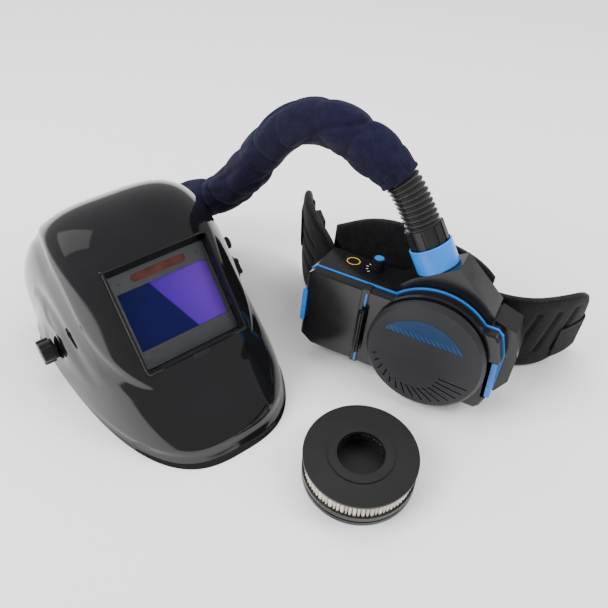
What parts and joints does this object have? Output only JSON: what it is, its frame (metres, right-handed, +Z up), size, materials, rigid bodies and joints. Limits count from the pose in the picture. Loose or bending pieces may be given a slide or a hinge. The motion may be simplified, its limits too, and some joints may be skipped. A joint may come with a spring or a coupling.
{
  "type": "powered air respirator",
  "caption": "Welding helmet with flip-up shell, belt-worn blower with removable battery and filter door, sleeved breathing hose and a spare round filter.",
  "frame": {"origin": "on the table under the middle of the kit", "axes": "+Z up, +X along the kit's length from helmet to blower, +Y away from the lens side"},
  "size_m": [0.66, 0.4525, 0.2808],
  "materials": {
    "black_gloss": "high gloss",
    "black_shell": "semi gloss",
    "black_plastic": "fine texture",
    "washer_rubber": "matte",
    "blue_plastic": "satin",
    "blue_label": "printed",
    "panel_label": "printed",
    "cartridge_metal": "brushed",
    "solar_glass": "glossy",
    "sensor_glass": "glossy",
    "lens_glass": "dichroic",
    "clear_cover": "clear",
    "soft_black": "matte",
    "webbing": "ribbed",
    "hose_rubber": "corrugated",
    "sleeve_cloth": "cotton",
    "filter_black": "moulded",
    "filter_paper": "pleated",
    "steel": "satin",
    "board": "solder mask"
  },
  "bodies": {
    "root": {"rear_casing": "black_shell", "seam_trim": "blue_plastic", "battery_contacts": "steel", "circuit_board": "board", "hinge_pin": "steel", "main_filter_plates": "filter_black", "main_filter_media": "filter_paper", "fan_scroll": "black_plastic", "fan_motor": "steel", "control_label": "panel_label", "potentiometer": "black_plastic", "casing_screws": "steel", "belt_hooks": "black_shell", "belt_centre_pad": "soft_black", "belt_left_pad": "soft_black", "belt_right_pad": "soft_black", "belt_left_strap": "webbing", "belt_right_strap": "webbing", "belt_buckle_socket": "black_plastic", "belt_buckle_plug": "black_plastic", "breathing_hose": "hose_rubber", "hose_sleeve": "sleeve_cloth", "blower_cuff": "black_plastic", "helmet_cuff": "black_plastic", "headband_front": "black_plastic", "sweatband": "soft_black", "pivot_brackets": "black_plastic", "crown_straps": "black_plastic", "air_duct": "black_plastic", "pivot_washers": "washer_rubber"},
    "visor": {"helmet_shell": "black_gloss", "cover_lens": "clear_cover", "filter_cartridge": "cartridge_metal", "solar_cell": "solar_glass", "arc_sensors": "sensor_glass", "viewing_lens": "lens_glass", "lens_retainer": "black_plastic", "face_seal": "soft_black", "shade_control_box": "black_plastic"},
    "left_knob": {"left_tension_knob": "black_plastic"},
    "right_knob": {"right_tension_knob": "black_plastic"},
    "shade_dial": {"shade_knob": "black_plastic"},
    "rear_band": {"headband_rear": "black_plastic", "ratchet_housing": "black_plastic"},
    "ratchet": {"ratchet_knob": "black_plastic"},
    "battery": {"battery_pack": "black_shell"},
    "battery_button": {"battery_latch": "blue_plastic"},
    "door": {"filter_door": "black_shell", "cover_disc": "black_shell", "cover_decal": "blue_label", "prefilter": "filter_paper"},
    "door_button": {"door_latch": "blue_plastic"},
    "fan": {"impeller": "black_plastic"},
    "collar": {"outlet_collar": "blue_plastic"},
    "dial": {"speed_knob": "black_plastic", "knob_cap": "blue_plastic"},
    "spare_filter": {"spare_filter_base": "filter_black", "spare_filter_media": "filter_paper", "spare_filter_grille": "filter_black", "spare_filter_top": "filter_black"}
  },
  "joints": [
    {"name": "visor_tilt", "type": "hinge", "parent": "root", "child": "visor", "pos_m": [-0.18542, 0.05129, 0.03602], "axis": [-0.8039, -0.5948, 0], "range_deg": [-41.3, 18]},
    {"name": "left_tension_turn", "type": "hinge", "parent": "root", "child": "left_knob", "pos_m": [-0.27789, -0.01713, 0.03602], "axis": [-0.8039, -0.5948, 0], "range_deg": [-180, 180]},
    {"name": "right_tension_turn", "type": "hinge", "parent": "root", "child": "right_knob", "pos_m": [-0.09296, 0.11971, 0.03602], "axis": [0.8039, 0.5948, 0], "range_deg": [-180, 180]},
    {"name": "shade_turn", "type": "hinge", "parent": "visor", "child": "shade_dial", "pos_m": [-0.09998, 0.11077, 0.08259], "axis": [0.8039, 0.5948, 0], "range_deg": [0, 240]},
    {"name": "headband_size", "type": "slide", "parent": "root", "child": "rear_band", "axis": [0.589, -0.796, 0.1392], "range_m": [0, 0.012]},
    {"name": "ratchet_turn", "type": "hinge", "parent": "rear_band", "child": "ratchet", "pos_m": [-0.26781, 0.16263, 0.01554], "axis": [0.589, -0.796, 0.1392], "range_deg": [0, 90]},
    {"name": "battery_slide", "type": "slide", "parent": "root", "child": "battery", "axis": [-0.4462, -0.8758, 0.184], "range_m": [0, 0.04]},
    {"name": "battery_latch_press", "type": "slide", "parent": "battery", "child": "battery_button", "axis": [0.891, -0.454, 0], "range_m": [0, 0.0028], "stiffness_N_per_m": 600},
    {"name": "door_swing", "type": "hinge", "parent": "root", "child": "door", "pos_m": [0.06135, -0.01209, 0.07204], "axis": [-0.0835, -0.1639, -0.9829], "range_deg": [0, 27]},
    {"name": "door_latch_press", "type": "slide", "parent": "door", "child": "door_button", "axis": [-0.891, 0.454, 0], "range_m": [0, 0.003], "stiffness_N_per_m": 600},
    {"name": "fan_spin", "type": "hinge", "parent": "root", "child": "fan", "pos_m": [0.1549, 0.00323, 0.06154], "axis": [-0.4462, -0.8758, 0.184], "continuous": true},
    {"name": "collar_twist", "type": "hinge", "parent": "root", "child": "collar", "pos_m": [0.1407, 0.01346, 0.14426], "axis": [-0.4152, 0.3847, 0.8244], "range_deg": [0, 40]},
    {"name": "speed_turn", "type": "hinge", "parent": "root", "child": "dial", "pos_m": [0.08273, 0.04441, 0.11024], "axis": [-0.0835, -0.1639, -0.9829], "range_deg": [0, 270]},
    {"name": "spare_filter_lift", "type": "slide", "parent": "root", "child": "spare_filter", "axis": [0, 0, 1], "range_m": [0, 0.08]}
  ],
  "couplings": [
    {"joint": "ratchet_turn", "follows": "headband_size", "rad_per_m": 125}
  ]
}
